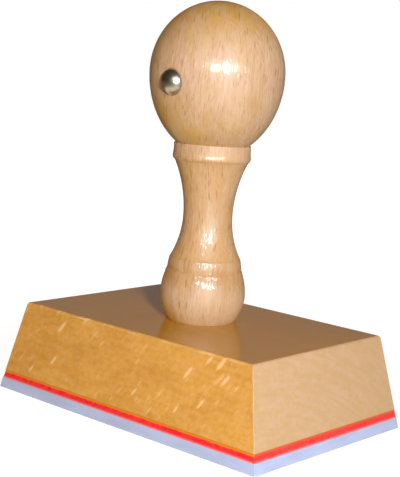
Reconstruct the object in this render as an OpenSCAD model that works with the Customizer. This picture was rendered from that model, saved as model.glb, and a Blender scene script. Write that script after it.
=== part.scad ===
// Hand stamp with a turned knob handle on a tapered wooden block.
// The handle has a short tenon that is glued into the block and held by a screw from below.
// Under the block lie a film, a sponge foam layer, a second film and the engraved rubber die.
// A domed nail in the knob marks the front.
// Millimetres, +Z up, +X along the block, -Y to the front. The origin is the middle of the printing face.

/* [Die] */
// Length of the printing face
die_length = 90; // [76:1:120]
// Width of the printing face
die_width = 60; // [52:1:80]
// Thickness of the die from its back to the printing face
die_t = 2.65; // [2:0.05:4]
// Depth of the ground that is engraved round the relief
relief_depth = 0.9; // [0.5:0.1:1.4]
// Width of the outer border line
border_line = 1.4; // [0.8:0.1:2.4]
// Width of the inner border line, the rules and the sides of the fields
fine_line = 0.7; // [0.4:0.1:1.2]
// Gap between the two border lines
border_gap = 1.3; // [0.8:0.1:2]
// Gap from the inner border line to the rows
row_margin = 4; // [3:0.5:5]
// Number of rows, each with a field and a rule
row_count = 4; // [2:1:4]
// Side of the square field that starts a row
field_side = 7; // [4:0.5:7.5]

/* [Foam layer] */
// Thickness of the sponge foam between the films
foam_t = 1.9; // [1.2:0.1:3.2]
// Thickness of each adhesive film
film_t = 0.15; // [0.1:0.05:0.3]

/* [Block] */
// Height of the wooden block
block_h = 19.3; // [16:0.1:28]
// Lean of the two ends from upright, in degrees
end_draft = 13.2; // [6:0.2:16]
// Lean of the two long sides from upright, in degrees
side_draft = 8.8; // [4:0.2:14]
// Radius of the rounded top edges
edge_round = 0.8; // [0.3:0.1:2]

/* [Handle] */
// Diameter of the flat base that stands on the block
base_d = 18; // [16:0.2:20]
// Diameter of the foot where it is widest
foot_d = 22.4; // [21:0.2:26]
// Height of the foot's widest point above the block
foot_wide_z = 7; // [5:0.2:9]
// Height of the foot
foot_h = 13.25; // [11:0.25:16]
// Diameter of the ring above the foot
ring_d = 19.5; // [18:0.1:20.5]
// Height of the ring
ring_h = 3.4; // [2:0.1:5]
// Diameter of the waist
waist_d = 12.85; // [10:0.05:15]
// Height of the hollow from the ring to the waist
lower_cove_h = 11.1; // [8:0.1:16]
// Height of the hollow from the waist to the collar
upper_cove_h = 14.4; // [10:0.1:20]
// Diameter of the collar under the ball
collar_d = 20.5; // [18:0.1:23]
// Height of the collar
collar_h = 4.2; // [2.5:0.1:6]
// Amount by which the ring and the collar swell between their edges
band_bulge = 0.2; // [0.1:0.05:0.4]
// Depth of the step from the collar and the ring to the hollows between them
cove_step = 0.4; // [0.2:0.05:0.8]
// Depth of the crease between the collar and the ball
crease = 0.6; // [0.2:0.05:0.9]
// Diameter of the ball where it is widest
ball_d = 35; // [30:0.5:42]
// Height of the ball above its widest point
ball_top_h = 18.5; // [15:0.5:22]
// Half axis of the long curve under the ball's widest point
ball_low_h = 21.5; // [18:0.1:26]

/* [Tenon] */
// Diameter of the tenon under the handle
tenon_d = 9; // [7:0.5:12]
// Length of the tenon
tenon_l = 10; // [6:0.5:11]
// Gap all round the tenon for glue
glue_gap = 0.1; // [0.05:0.05:0.2]
// Gap under the end of the tenon
tenon_end_gap = 0.5; // [0.3:0.1:1]

/* [Screw] */
// Length of the screw with its head
screw_l = 30; // [28:1:36]
// Length of the threaded stretch, without the point
thread_l = 16; // [12:1:17]
// Length of the screw's point
point_l = 3; // [2:0.5:4]
// Outer diameter of the thread
thread_d = 4; // [3.5:0.1:4.5]
// Diameter of the thread's core and of the point where it starts
core_d = 2.6; // [2.2:0.1:2.8]
// Distance between the thread's turns
thread_pitch = 1.8; // [1.4:0.1:2.4]
// Diameter of the plain shank
shank_d = 3; // [2.9:0.1:3.4]
// Diameter of the countersunk head
head_d = 8; // [7:0.1:9]
// Depth of the head below the underside of the block
head_sink = 0.3; // [0.1:0.1:0.6]
// Gap round the head and the shank in the block
screw_gap = 0.1; // [0.05:0.05:0.3]
// Diameter of the pilot hole in the handle, which the thread cuts into
pilot_d = 3.1; // [2.9:0.1:3.4]

/* [Front marker] */
// Diameter of the domed cap
cap_d = 6.5; // [5:0.1:8]
// Height of the domed cap
cap_h = 2.1; // [1.6:0.1:2.4]
// Wall of the domed cap
cap_wall = 0.4; // [0.3:0.05:0.6]
// Diameter of the nail
nail_d = 1.5; // [1.2:0.1:2]
// Length of the nail in the wood
nail_l = 11; // [8:0.5:13]
// Amount by which the nail's hole is tighter than the nail, on the diameter
nail_grip = 0.1; // [0.05:0.05:0.2]
// Height of the ball's widest point above the marker
marker_drop = 2.6; // [0:0.1:5]

/* [Hidden] */

$fn = 96;
// Steps of a rounded edge and degrees between the points of a turned curve
edge_steps = 6;
turn_step = 3;

// Heights of the layers
die_top = die_t;
lower_film_top = die_top + film_t;
foam_top = lower_film_top + foam_t;
block_base = foam_top + film_t;
block_top = block_base + block_h;
// Long enough to pass through the block either way
through = die_length + die_width;
// Overlap that keeps a cut from ending level with a face
cut_over = 1;

// Radii of the handle
base_r = base_d / 2;
foot_r = foot_d / 2;
ring_r = ring_d / 2;
ring_edge_r = ring_r - band_bulge;
waist_r = waist_d / 2;
collar_r = collar_d / 2;
collar_edge_r = collar_r - band_bulge;
neck_r = collar_edge_r - crease;
ball_r = ball_d / 2;
// The foot's shoulder stands a little proud of the ring
shoulder_r = ring_r + band_bulge / 2;

// Heights of the handle above the block
ring_top = foot_h + ring_h;
waist_z = ring_top + lower_cove_h;
collar_z = waist_z + upper_cove_h;
collar_top = collar_z + collar_h;
ball_z = collar_top + ball_low_h * sqrt(1 - pow(neck_r / ball_r, 2));

// Tenon and the hole that it is glued into
tenon_r = tenon_d / 2;
tenon_chamfer = 0.6;
socket_depth = tenon_l + tenon_end_gap;

// Screw, measured up from the underside of the block
head_cone_h = (head_d - shank_d) / 2;
shank_top = screw_l - thread_l - point_l;
recess_l = head_d * 0.55;
recess_w = head_d * 0.12;
recess_depth = head_cone_h * 0.8;
pilot_end_gap = 1;
// Points round the screw, and rings along each turn of its thread
thread_sides = 16;
thread_slices = 8;

// Front marker: the seat is a point of the ball, and the cap stands square to the ball there
cap_r = cap_d / 2;
cap_dome_r = (cap_r * cap_r + cap_h * cap_h) / (2 * cap_h);
cap_inner_r = cap_dome_r - cap_wall;
seat_angle = asin(marker_drop / ball_low_h);
seat_r = ball_r * cos(seat_angle);
seat_z = block_top + ball_z - marker_drop;
seat_tilt = atan2(marker_drop / pow(ball_low_h, 2), seat_r / pow(ball_r, 2));
// The cap's rim rests on the ball, which falls away round the seat
rim_sink = pow(cap_r - cap_wall, 2) * ball_r / (2 * pow(ball_low_h, 2)) - 0.03;
cap_inner_top = cap_h - rim_sink - cap_wall;
nail_top = cap_inner_top - cap_inner_r + sqrt(pow(cap_inner_r, 2) - pow(nail_d / 2, 2));
nail_point_l = 2 * nail_d;

// Half sizes of the tapered body at a height
function half_length(z) = die_length / 2 - z * tan(end_draft);
function half_width(z) = die_width / 2 - z * tan(side_draft);

// Right top corner of a leaning side, rounded where a radius is given
function top_corner(half, z, draft, r) = r == 0 ? [[half, z]] :
    [for (i = [0:edge_steps])
        let (a = draft + (90 - draft) * i / edge_steps)
        [half + r * tan(draft) - r / cos(draft) + r * cos(a), z - r + r * sin(a)]];

function mirrored(points) = [for (i = [len(points) - 1:-1:0]) [-points[i].x, points[i].y]];

// Upright outline between two heights, wide at the bottom
function slab_outline(low, high, z0, z1, draft, r) =
    let (corner = top_corner(high, z1, draft, r))
    concat([[-low, z0], [low, z0]], corner, mirrored(corner));

// Slice of the tapered body between two heights
module taper_slab(z0, z1, r = 0) {
    intersection() {
        rotate([90, 0, 0])
            linear_extrude(height = through, center = true)
                polygon(slab_outline(half_length(z0), half_length(z1), z0, z1, end_draft, r));
        rotate([90, 0, 90])
            linear_extrude(height = through, center = true)
                polygon(slab_outline(half_width(z0), half_width(z1), z0, z1, side_draft, r));
    }
}

// Points of a quarter oval of half axes r and b about the height z, between two angles
function oval(r, b, z, from, to) =
    let (steps = ceil(abs(to - from) / turn_step))
    [for (i = [0:steps]) let (a = from + (to - from) * i / steps) [r * cos(a), z + b * sin(a)]];

// Points of a hollow whose bottom is the waist; it ends h above or below at the radius r_end
function cove(r_end, h) =
    let (d = r_end - waist_r, bend = (h * h + d * d) / (2 * d), sweep = asin(h / bend),
         steps = ceil(abs(sweep) / turn_step))
    [for (i = [0:steps]) let (a = sweep * i / steps) [waist_r + bend * (1 - cos(a)), waist_z + bend * sin(a)]];

function reversed(points) = [for (i = [len(points) - 1:-1:0]) points[i]];

// Points of a band that swells between its edges
function band(r, z0, h) =
    [for (i = [0:edge_steps]) let (u = 2 * i / edge_steps - 1) [r - band_bulge * u * u, z0 + h * i / edge_steps]];

// Half outline of the handle, from the end of the tenon to the top of the ball
function handle_outline() =
    let (base_angle = acos(base_r / foot_r), shoulder_angle = acos(shoulder_r / foot_r),
         neck_angle = acos(neck_r / ball_r))
    concat(
        [[0, -tenon_l], [tenon_r - tenon_chamfer, -tenon_l], [tenon_r, tenon_chamfer - tenon_l], [tenon_r, 0]],
        oval(foot_r, foot_wide_z / sin(base_angle), foot_wide_z, -base_angle, 0),
        oval(foot_r, (foot_h - foot_wide_z) / sin(shoulder_angle), foot_wide_z, turn_step, shoulder_angle),
        band(ring_r, foot_h, ring_h),
        reversed(cove(ring_edge_r - cove_step, -lower_cove_h)),
        cove(collar_edge_r - cove_step, upper_cove_h),
        band(collar_r, collar_z, collar_h),
        oval(ball_r, ball_low_h, ball_z, -neck_angle, 0),
        oval(ball_r, ball_top_h, ball_z, turn_step, 90)
    );

// Places a piece on the marker's seat, with +Z out of the ball
module at_marker_seat() {
    translate([0, -seat_r, seat_z])
        rotate([90 + seat_tilt, 0, 0])
            children();
}

// Stands a piece on the underside of the block, where the screw's head lies
module at_screw_head() {
    translate([0, 0, block_base + head_sink])
        children();
}

module handle() {
    color("#dcb184")
        difference() {
            translate([0, 0, block_top])
                rotate_extrude()
                    polygon(handle_outline());
            at_screw_head()
                cylinder(d = pilot_d, h = screw_l + pilot_end_gap);
            at_marker_seat()
                translate([0, 0, -nail_l])
                    cylinder(d = nail_d - nail_grip, h = nail_l + cut_over);
        }
}

// Hollow spherical cap on a flat rim
module marker_cap() {
    color("#c9c4ba")
        at_marker_seat()
            translate([0, 0, -rim_sink])
                difference() {
                    cap_dome(cap_dome_r);
                    cap_dome(cap_inner_r);
                }
}

// Part of a ball above the cap's rim, about the centre that the cap's two faces share
module cap_dome(r) {
    intersection() {
        translate([0, 0, cap_h - cap_dome_r])
            sphere(r = r);
        cylinder(d = cap_d + 2 * cut_over, h = cap_h + cut_over);
    }
}

module marker_nail() {
    color("#a8a59e")
        at_marker_seat() {
            translate([0, 0, nail_point_l - nail_l])
                cylinder(d = nail_d, h = nail_top + nail_l - nail_point_l);
            translate([0, 0, -nail_l])
                cylinder(d1 = nail_d / 5, d2 = nail_d, h = nail_point_l);
        }
}

// Share of the ridge's height at an angle and a height: one ridge climbs a pitch a turn and fades at both ends
function ridge(a, z) =
    let (phase = a / 360 - (z - shank_top) / thread_pitch, off = abs(phase - floor(phase) - 0.5),
         fade = min(1, (z - shank_top) / thread_pitch, (screw_l - point_l - z) / thread_pitch))
    fade * max(0, 1 - 4 * off);

// Ring of points round the screw at a height
function ring(r, z) = [for (i = [0:thread_sides - 1]) let (a = 360 * i / thread_sides) [r * cos(a), r * sin(a), z]];

function thread_ring(z) =
    [for (i = [0:thread_sides - 1])
        let (a = 360 * i / thread_sides, r = core_d / 2 + (thread_d - core_d) / 2 * ridge(a, z))
        [r * cos(a), r * sin(a), z]];

// Rings of the whole screw, from the face of its head to its point
function screw_rings() =
    let (steps = ceil(thread_slices * thread_l / thread_pitch))
    concat(
        [ring(head_d / 2, 0), ring(shank_d / 2, head_cone_h), ring(shank_d / 2, shank_top - (shank_d - core_d) / 2)],
        [for (i = [0:steps]) thread_ring(shank_top + thread_l * i / steps)],
        [ring(core_d / 20, screw_l)]
    );

// Closed skin over a stack of rings that have as many points each
module ring_skin(rings) {
    n = len(rings[0]);
    last = len(rings) - 1;
    polyhedron(
        points = [for (r = rings) each r],
        faces = concat(
            [for (i = [1:n - 2]) [0, i, i + 1]],
            [for (k = [0:last - 1], i = [0:n - 1])
                let (a = k * n + i, b = k * n + (i + 1) % n)
                each [[a, a + n, b], [b, a + n, b + n]]],
            [for (i = [1:n - 2]) [last * n, last * n + i + 1, last * n + i]]
        )
    );
}

module handle_screw() {
    color("#b9b4a4")
        at_screw_head()
            difference() {
                ring_skin(screw_rings());
                for (turn = [0, 90])
                    rotate(turn)
                        translate([-recess_l / 2, -recess_w / 2, -cut_over])
                            cube([recess_l, recess_w, recess_depth + cut_over]);
            }
}

module mount_block() {
    color("#d9a441")
        difference() {
            taper_slab(block_base, block_top, edge_round);
            translate([0, 0, block_top - socket_depth])
                cylinder(r = tenon_r + glue_gap, h = socket_depth + cut_over);
            translate([0, 0, block_base - cut_over])
                cylinder(d = shank_d + 2 * screw_gap, h = block_h);
            at_screw_head()
                cylinder(d1 = head_d + 2 * screw_gap, d2 = shank_d + 2 * screw_gap, h = head_cone_h);
            translate([0, 0, block_base - cut_over])
                cylinder(d = head_d + 2 * screw_gap, h = head_sink + cut_over);
        }
}

module upper_film() {
    color("#c8862a")
        taper_slab(foam_top, block_base);
}

module foam_layer() {
    color("#f2354a")
        taper_slab(lower_film_top, foam_top);
}

module lower_film() {
    color("#d9a9a0")
        taper_slab(die_top, lower_film_top);
}

// Rectangular outline of a line that runs inside the given size
module line_frame(size, line) {
    difference() {
        square(size, center = true);
        square([size.x - 2 * line, size.y - 2 * line], center = true);
    }
}

// Raised pattern: an inner border line, and rows that each have a square field and a rule
module relief_pattern(inner) {
    rows_l = inner.x - 2 * (fine_line + row_margin);
    rows_w = inner.y - 2 * (fine_line + row_margin);
    row_pitch = rows_w / row_count;
    rule_start = field_side + row_margin;
    line_frame(inner, fine_line);
    for (row = [0:row_count - 1])
        translate([-rows_l / 2, (row + 0.5) * row_pitch - rows_w / 2]) {
            translate([field_side / 2, 0])
                line_frame([field_side, field_side], fine_line);
            translate([rule_start, -field_side / 2])
                square([rows_l - rule_start, fine_line]);
        }
}

module die_plate() {
    ground = [die_length - 2 * border_line, die_width - 2 * border_line];
    inner = [ground.x - 2 * border_gap, ground.y - 2 * border_gap];
    color("#c9cdea")
        difference() {
            taper_slab(0, die_top);
            translate([0, 0, -cut_over])
                linear_extrude(height = relief_depth + cut_over)
                    difference() {
                        square(ground, center = true);
                        relief_pattern(inner);
                    }
        }
}

handle();
marker_cap();
marker_nail();
handle_screw();
mount_block();
upper_film();
foam_layer();
lower_film();
die_plate();
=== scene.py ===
"""Looks of a wooden hand stamp: a turned beech handle on a tapered block with a foam-backed rubber die.

Lengths are in metres where no name or docstring says millimetres, in the frame of the solids: +Z up, +X along
the block, -Y to the front.
"""

import logging
import math
from collections.abc import Mapping, Sequence
from dataclasses import dataclass
from enum import Enum

import bmesh
import bpy
from mathutils import Matrix, Vector, noise


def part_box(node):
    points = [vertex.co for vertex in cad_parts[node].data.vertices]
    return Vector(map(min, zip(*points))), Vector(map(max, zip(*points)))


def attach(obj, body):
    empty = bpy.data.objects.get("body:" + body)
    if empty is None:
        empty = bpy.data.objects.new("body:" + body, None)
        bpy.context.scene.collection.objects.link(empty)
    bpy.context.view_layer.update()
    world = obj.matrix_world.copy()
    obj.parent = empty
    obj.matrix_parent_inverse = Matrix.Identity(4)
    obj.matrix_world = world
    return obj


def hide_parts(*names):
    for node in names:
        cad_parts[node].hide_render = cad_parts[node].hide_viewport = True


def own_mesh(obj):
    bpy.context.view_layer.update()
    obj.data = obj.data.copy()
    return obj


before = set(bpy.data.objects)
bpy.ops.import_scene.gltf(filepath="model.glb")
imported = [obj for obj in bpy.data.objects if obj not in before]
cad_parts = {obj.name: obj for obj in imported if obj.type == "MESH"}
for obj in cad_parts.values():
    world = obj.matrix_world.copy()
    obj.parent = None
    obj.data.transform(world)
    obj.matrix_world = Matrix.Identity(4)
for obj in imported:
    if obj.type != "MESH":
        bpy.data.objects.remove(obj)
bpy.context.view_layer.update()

LOG = logging.getLogger("hand_stamp")
MM = 0.001
STAMP_BODY = "stamp"
CORNER_CUTS = 2

Colour = tuple[float, float, float]
Triple = tuple[float, float, float]
Outline = list[tuple[float, float]]
Ring = list[Vector]
# Share of a stretch's height and cut of its radius in millimetres, point by point.
Forms = tuple[tuple[float, float], ...]


class Reach(Enum):
    """What a lamp lights: matt surfaces or glossy ones."""

    MATT = "matt"
    GLOSS = "gloss"


class Slot(Enum):
    """Material slots of the record."""

    HANDLE_BEECH = "handle_beech"
    NICKEL = "nickel"
    NAIL_STEEL = "nail_steel"
    ZINC_STEEL = "zinc_steel"
    BLOCK_BEECH = "block_beech"
    ADHESIVE_FILM = "adhesive_film"
    RED_FOAM = "red_foam"
    DIE_RUBBER = "die_rubber"


@dataclass(frozen=True)
class Grains:
    """Scattered long grains, one in some of the cells of a stretched grid.

    The reach is half the size of a grain as a share of its cell, the share tells how many cells hold one, and
    the tint how strongly it colours its ground.
    """

    cell_mm: Triple
    reach: float
    share: float
    tint: float


def heading(turn_deg: float, lift_deg: float = 0.0) -> Vector:
    """Direction from the middle of the stamp outwards.

    Args:
        turn_deg: Turn from the front to the right, in degrees.
        lift_deg: Lift above the level, in degrees.

    Returns:
        The direction, one unit long.
    """
    turn, lift = math.radians(turn_deg), math.radians(lift_deg)
    return Vector((math.sin(turn) * math.cos(lift), -math.cos(turn) * math.cos(lift), math.sin(lift)))


class Sock:
    """One output of a shader node, which can be used in Python expressions on values."""

    def __init__(self, graph: "Graph", socket: bpy.types.NodeSocket) -> None:
        """Keeps the socket and the graph that it belongs to."""
        self.graph = graph
        self.socket = socket

    def __add__(self, other: "Value") -> "Sock":
        """self + other."""
        return self.graph.math("ADD", self, other)

    def __radd__(self, other: float) -> "Sock":
        """other + self."""
        return self.graph.math("ADD", other, self)

    def __sub__(self, other: "Value") -> "Sock":
        """self - other."""
        return self.graph.math("SUBTRACT", self, other)

    def __rsub__(self, other: float) -> "Sock":
        """other - self."""
        return self.graph.math("SUBTRACT", other, self)

    def __mul__(self, other: "Value") -> "Sock":
        """self * other."""
        return self.graph.math("MULTIPLY", self, other)

    def __rmul__(self, other: float) -> "Sock":
        """other * self."""
        return self.graph.math("MULTIPLY", other, self)

    def __truediv__(self, other: "Value") -> "Sock":
        """self / other."""
        return self.graph.math("DIVIDE", self, other)

    def __rtruediv__(self, other: float) -> "Sock":
        """other / self."""
        return self.graph.math("DIVIDE", other, self)

    def __abs__(self) -> "Sock":
        """Size of the value without its sign."""
        return self.graph.math("ABSOLUTE", self)

    def step(self, low: float, high: float) -> "Sock":
        """Eases from 0 to 1 as the value goes from low to high, which may be the smaller one.

        Args:
            low: Value that gives 0.
            high: Value that gives 1.

        Returns:
            The eased value.
        """
        inputs = {"Value": self, "From Min": low, "From Max": high}
        return self.graph.node("ShaderNodeMapRange", {"interpolation_type": "SMOOTHSTEP"}, inputs)


Value = Sock | float | Sequence[float]


class Graph:
    """Node tree of a material or of the room, built by expressions."""

    def __init__(self, owner: bpy.types.Material | bpy.types.World) -> None:
        """Empties the owner's node tree.

        Args:
            owner: Material or room that the graph belongs to.
        """
        owner.use_nodes = True
        self.owner = owner
        self.tree = owner.node_tree
        self.tree.nodes.clear()

    def add(
        self,
        kind: str,
        settings: Mapping[str, object] | None = None,
        inputs: Mapping[str | int, Value] | None = None,
    ) -> bpy.types.Node:
        """Adds a node.

        Args:
            kind: Blender's type name of the node.
            settings: Properties of the node, set before its sockets; stops are a ramp's places and colours.
            inputs: Values or links of its sockets, by name or place.

        Returns:
            The node.
        """
        made = self.tree.nodes.new(kind)
        for name, value in (settings or {}).items():
            if name == "stops":
                self._set_stops(made.color_ramp, value)
            else:
                setattr(made, name, value)
        for name, value in (inputs or {}).items():
            self._feed(made.inputs[name], value)
        return made

    def _set_stops(self, ramp: bpy.types.ColorRamp, stops: Sequence[tuple[float, Colour]]) -> None:
        """Sets a ramp's stops.

        Args:
            ramp: Ramp with its two first stops.
            stops: Place and colour of each stop.
        """
        while len(ramp.elements) < len(stops):
            ramp.elements.new(1.0)
        for element, (place, colour) in zip(ramp.elements, stops):
            element.position = place
            element.color = (*colour, 1.0)

    def _feed(self, socket: bpy.types.NodeSocket, value: Value) -> None:
        """Links or sets one socket; a colour of three numbers is opaque.

        Args:
            socket: Socket that takes the value.
            value: Another node's output, a number or a list of numbers.
        """
        if isinstance(value, Sock):
            self.tree.links.new(value.socket, socket)
        elif socket.type == "RGBA" and len(value) == 3:
            socket.default_value = (*value, 1.0)
        else:
            socket.default_value = value

    def node(
        self,
        kind: str,
        settings: Mapping[str, object] | None = None,
        inputs: Mapping[str | int, Value] | None = None,
        output: str | int = 0,
    ) -> Sock:
        """Adds a node, as add() does, and returns the output of that name or place."""
        return Sock(self, self.add(kind, settings, inputs).outputs[output])

    def math(self, operation: str, *values: Value) -> Sock:
        """Math node on one or more values."""
        return self.node("ShaderNodeMath", {"operation": operation}, dict(enumerate(values)))

    def vector(self, operation: str, *values: Value, output: str | int = 0) -> Sock:
        """Vector Math node on one or more vectors."""
        return self.node("ShaderNodeVectorMath", {"operation": operation}, dict(enumerate(values)), output)

    def measure(self, operation: str, *values: Value) -> Sock:
        """Vector Math node that gives a number, such as a length."""
        return self.vector(operation, *values, output="Value")

    def parts(self, vector: Sock) -> list[Sock]:
        """X, Y and Z of a vector."""
        split = self.add("ShaderNodeSeparateXYZ", None, {"Vector": vector})
        return [Sock(self, out) for out in split.outputs]

    def mix(self, share: Value, low: Value, high: Value) -> Sock:
        """Mixes two colours: a share of 0 gives low, and 1 gives high."""
        return self.node("ShaderNodeMix", {"data_type": "RGBA"}, {0: share, 6: low, 7: high}, 2)

    def ramp(self, share: Sock, *stops: tuple[float, Colour]) -> Sock:
        """Colour that runs through the stops as the share goes from 0 to 1."""
        return self.node("ShaderNodeValToRGB", {"stops": stops}, {"Fac": share})

    def place_mm(self, turn: Sequence[float] = (0.0, 0.0, 0.0)) -> Sock:
        """Place on the piece in millimetres, turned about the three axes.

        Args:
            turn: Angles in degrees.

        Returns:
            The turned place.
        """
        place = self.node("ShaderNodeTexCoord", None, None, "Object")
        inputs = {"Vector": place, "Rotation": [math.radians(a) for a in turn], "Scale": (1 / MM,) * 3}
        return self.node("ShaderNodeMapping", {"vector_type": "POINT"}, inputs)

    def height_mm(self) -> Sock:
        """Height on the piece in millimetres."""
        return self.parts(self.place_mm())[2]

    def normal(self) -> Sock:
        """Direction that the surface faces."""
        return self.node("ShaderNodeNewGeometry", None, None, "Normal")

    def up_way(self) -> Sock:
        """Upward part of the normal: 1 on a level top, 0 on an upright side."""
        return self.parts(self.normal())[2]

    def at_end(self) -> Sock:
        """1 on the faces that look along X, 0 on the long sides."""
        return abs(self.parts(self.normal())[0]).step(0.5, 0.8)

    def facing(self, turn_deg: float, drop_deg: float = 0.0) -> Sock:
        """How squarely the surface faces one way: 1 straight towards it, 0 across.

        Args:
            turn_deg: Turn of the way from the front to the right, in degrees.
            drop_deg: Drop of the way below the level, in degrees.

        Returns:
            The cosine of the angle between the normal and the way.
        """
        return self.measure("DOT_PRODUCT", self.normal(), heading(turn_deg, -drop_deg))

    def is_ray(self, kind: str) -> Sock:
        """1 for light paths of one kind, such as Camera or Glossy, 0 for the others."""
        return self.node("ShaderNodeLightPath", None, None, f"Is {kind} Ray")

    def swayed(self, place: Sock, size: Sequence[float], reach: float) -> Sock:
        """Shifts a place along X by soft noise, so that straight grain wanders.

        Args:
            place: Place in millimetres.
            size: Size of the noise's blobs along each axis in millimetres.
            reach: Widest shift either way in millimetres.

        Returns:
            The shifted place.
        """
        shift = 4.0 * reach * (self.noise(place, size, 1.0) - 0.5)
        return self.vector("ADD", place, self.node("ShaderNodeCombineXYZ", None, {"X": shift}))

    def noise(self, place: Sock, size: Sequence[float], detail: float = 2.0) -> Sock:
        """Soft noise whose blobs have about the given size in millimetres along each axis."""
        scaled = self.vector("DIVIDE", place, size)
        return self.node("ShaderNodeTexNoise", None, {"Vector": scaled, "Scale": 1.0, "Detail": detail})

    def flecks(self, place: Sock, grains: Grains) -> Sock:
        """Scattered grains.

        Args:
            place: Place in millimetres.
            grains: Size and number of the grains.

        Returns:
            1 in the middle of a grain, 0 outside.
        """
        soft = 0.02
        scaled = self.vector("DIVIDE", place, grains.cell_mm)
        cells = self.add("ShaderNodeTexVoronoi", None, {"Vector": scaled, "Scale": 1.0})
        chance, size, _ = self.parts(Sock(self, cells.outputs["Color"]))
        held = chance.step(grains.share + soft, grains.share - soft)
        near = Sock(self, cells.outputs["Distance"]) / (0.5 * grains.reach + grains.reach * size)
        return near.step(1.0, 0.5) * held

    def bump(self, height: Sock, distance_mm: float, strength: float = 1.0) -> Sock:
        """Normal that follows a height of 0 to 1, which stands for the given depth."""
        inputs = {"Height": height, "Distance": distance_mm * MM, "Strength": strength}
        return self.node("ShaderNodeBump", None, inputs)

    def shader(self, inputs: Mapping[str, Value]) -> Sock:
        """Surface shader with these inputs."""
        return self.node("ShaderNodeBsdfPrincipled", None, inputs)

    def ended(self, shader: Sock) -> bpy.types.Material:
        """Ends the graph in a shader and returns the material."""
        self.add("ShaderNodeOutputMaterial", None, {"Surface": shader})
        return self.owner

    def surface(self, inputs: Mapping[str, Value]) -> bpy.types.Material:
        """Ends the graph in one shader with these inputs and returns the material."""
        return self.ended(self.shader(inputs))


def paint(name: str) -> Graph:
    """Empty graph of a new material."""
    return Graph(bpy.data.materials.new(name))


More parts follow.
